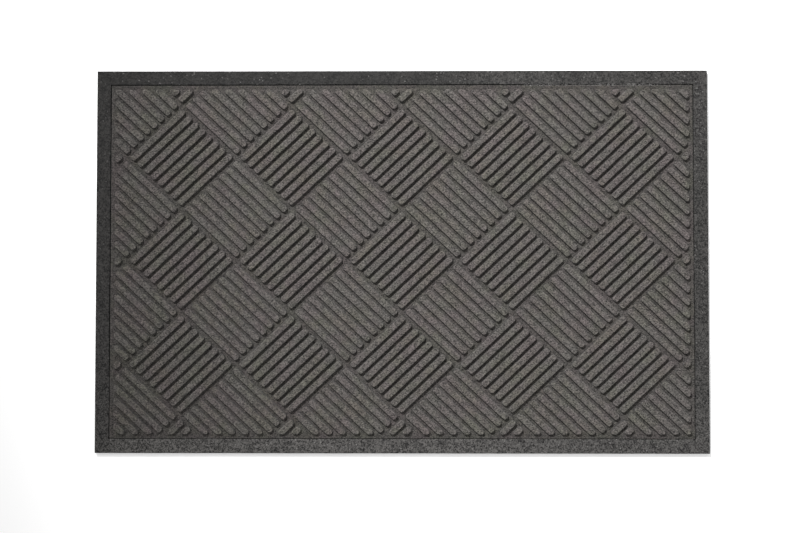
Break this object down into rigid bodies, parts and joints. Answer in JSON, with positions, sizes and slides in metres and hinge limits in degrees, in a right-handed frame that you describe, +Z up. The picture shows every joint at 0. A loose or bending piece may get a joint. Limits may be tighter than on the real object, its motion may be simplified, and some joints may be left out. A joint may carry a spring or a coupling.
{
  "type": "door mat",
  "caption": "Flat rectangular scraper door mat: a ribbed fibre face in a diagonal parquet pattern set in a rubber backing with a plain rubber border.",
  "frame": {"origin": "middle of the mat's footprint, on the floor", "axes": "+X along the length, +Y towards the back edge, +Z up out of the fibre face"},
  "size_m": [0.9144, 0.5716, 0.0095],
  "materials": {
    "base_rubber": "matt pressed crumb rubber, near black",
    "border_rubber": "matt crumb rubber, dark grey with fine lighter specks",
    "bond_film": "thin black hot-melt film",
    "scrim_fabric": "coarse woven backing cloth",
    "face_fibre": "matt needle-punched fibre, heathered brown grey"
  },
  "bodies": {
    "root": {"rubber_base": "base_rubber", "border_front": "border_rubber", "border_back": "border_rubber", "border_left": "border_rubber", "border_right": "border_rubber", "bond_film": "bond_film", "fibre_scrim": "scrim_fabric", "fibre_face": "face_fibre"}
  },
  "joints": []
}
